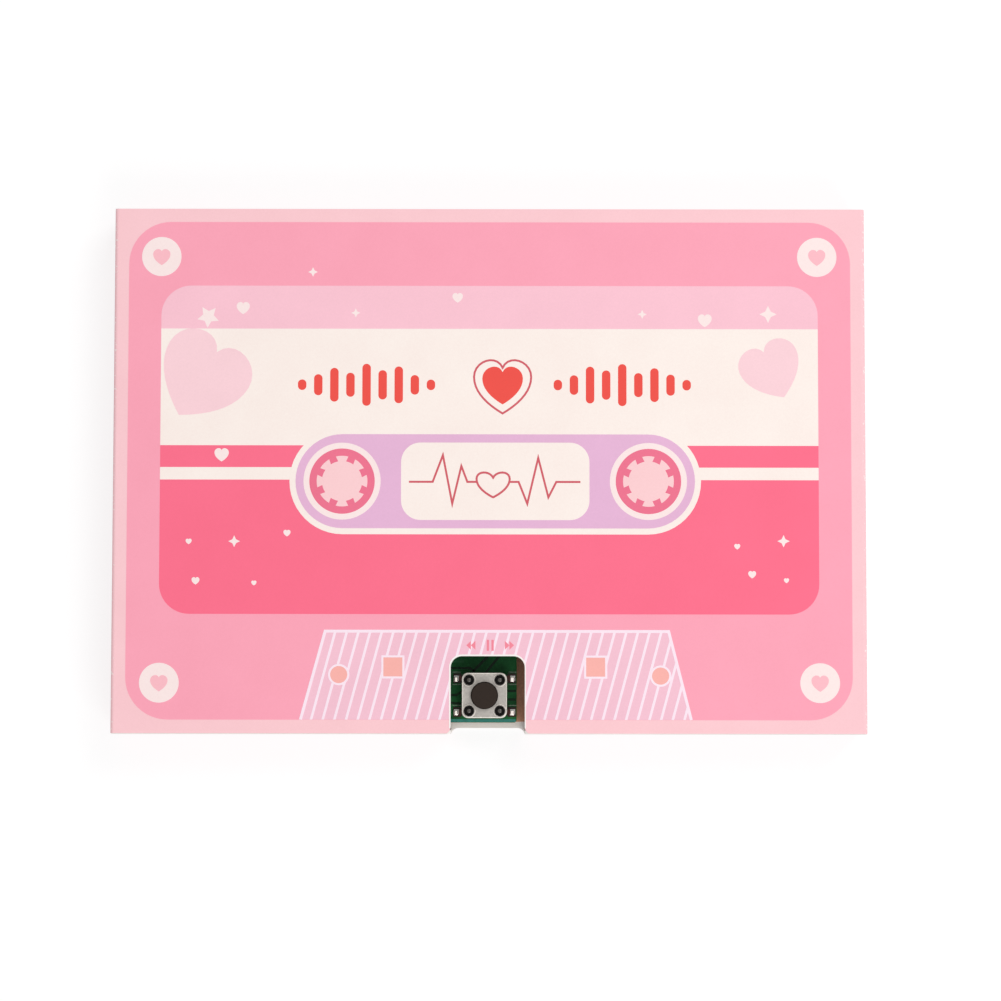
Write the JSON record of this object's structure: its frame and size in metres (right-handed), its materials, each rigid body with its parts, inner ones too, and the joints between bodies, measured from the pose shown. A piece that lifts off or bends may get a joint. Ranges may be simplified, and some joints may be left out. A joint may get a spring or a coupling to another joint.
{
  "type": "recordable greeting card",
  "caption": "Flat folded card case with a cover hinged at the left, a fore-edge flap and a die-cut notch over a small push switch; a voice recorder is inside.",
  "frame": {"origin": "centre of the back face, on the surface that the closed card lies on", "axes": "+Z out of the front cover, +Y to the top of the print, +X to the fore edge; the cover hinge is at -X"},
  "size_m": [0.1, 0.07, 0.008],
  "materials": {
    "cover_card": "matt printed card, white cut edges",
    "tray_card": "matt printed card, white inside",
    "greyboard": "raw greyboard",
    "panel_card": "uncoated card",
    "green_board": "green solder mask",
    "white_foam": "closed foam tape",
    "solder": "bright solder",
    "tinned_metal": "tinned sheet",
    "switch_plate": "satin stamped sheet with fine scratches",
    "spring_steel": "bright spring sheet",
    "switch_black": "moulded",
    "button_black": "fine moulded texture",
    "chip_resin": "moulded resin",
    "resistor_ceramic": "glazed top, tinned ends",
    "capacitor_ceramic": "plain, tinned ends",
    "red_lamp": "clear tinted resin",
    "microphone_metal": "drawn can",
    "black_felt": "felt",
    "speaker_steel": "plated sheet",
    "magnet": "nickel plated",
    "copper_wire": "wound enamelled wire",
    "speaker_film": "formed film",
    "gasket_paper": "black card ring",
    "terminal_board": "brown board",
    "holder_black": "moulded",
    "cell_steel": "nickel plated can",
    "red_wire": "insulation",
    "black_wire": "insulation"
  },
  "bodies": {
    "case": {"card_tray": "tray_card", "spacer_frame": "greyboard", "inner_panel": "panel_card", "circuit_board": "green_board", "board_tape": "white_foam", "battery_tape": "white_foam", "wire_strip": "white_foam", "solder_pads": "solder", "play_switch_legs": "tinned_metal", "record_switch_legs": "tinned_metal", "power_switch_pins": "tinned_metal", "power_switch_shell": "tinned_metal", "voice_chip_leads": "tinned_metal", "microphone_pins": "tinned_metal", "battery_lower_contacts": "tinned_metal", "battery_upper_contacts": "tinned_metal", "play_switch_cover": "switch_plate", "record_switch_cover": "switch_plate", "play_switch_dome": "spring_steel", "record_switch_dome": "spring_steel", "play_switch_base": "switch_black", "record_switch_base": "switch_black", "power_switch_base": "switch_black", "voice_chip": "chip_resin", "resistors": "resistor_ceramic", "capacitors": "capacitor_ceramic", "record_lamp": "red_lamp", "microphone_can": "microphone_metal", "microphone_screen": "black_felt", "speaker_frame": "speaker_steel", "speaker_pot": "speaker_steel", "speaker_pole": "speaker_steel", "speaker_magnet": "magnet", "speaker_voice_coil": "copper_wire", "speaker_film": "speaker_film", "speaker_gasket": "gasket_paper", "speaker_terminal": "terminal_board", "battery_holder": "holder_black", "battery_cell_1": "cell_steel", "battery_cell_2": "cell_steel", "battery_cell_3": "cell_steel", "battery_wire_positive": "red_wire", "speaker_wire_positive": "red_wire", "battery_wire_negative": "black_wire", "speaker_wire_negative": "black_wire"},
    "cover": {"front_cover": "cover_card"},
    "flap": {"cover_flap": "cover_card"},
    "play_button": {"play_button": "button_black"},
    "record_button": {"record_button": "button_black"},
    "power_knob": {"power_switch_knob": "switch_black"}
  },
  "joints": [
    {"name": "cover_hinge", "type": "hinge", "parent": "case", "child": "cover", "pos_m": [-0.0495, 0, 0.0075], "axis": [0, -1, 0], "range_deg": [0, 180]},
    {"name": "flap_fold", "type": "hinge", "parent": "cover", "child": "flap", "pos_m": [0.0495, 0, 0.0075], "axis": [0, -1, 0], "range_deg": [0, 90]},
    {"name": "play_press", "type": "slide", "parent": "case", "child": "play_button", "axis": [0, 0, -1], "range_m": [0, 0.00025], "stiffness_N_per_m": 4000, "springref_m": -0.00008, "deforming": ["play_switch_dome"]},
    {"name": "record_press", "type": "slide", "parent": "case", "child": "record_button", "axis": [0, 0, -1], "range_m": [0, 0.00025], "stiffness_N_per_m": 4000, "springref_m": -0.00008, "deforming": ["record_switch_dome"]},
    {"name": "power_slide", "type": "slide", "parent": "case", "child": "power_knob", "axis": [1, 0, 0], "range_m": [0, 0.002]}
  ]
}
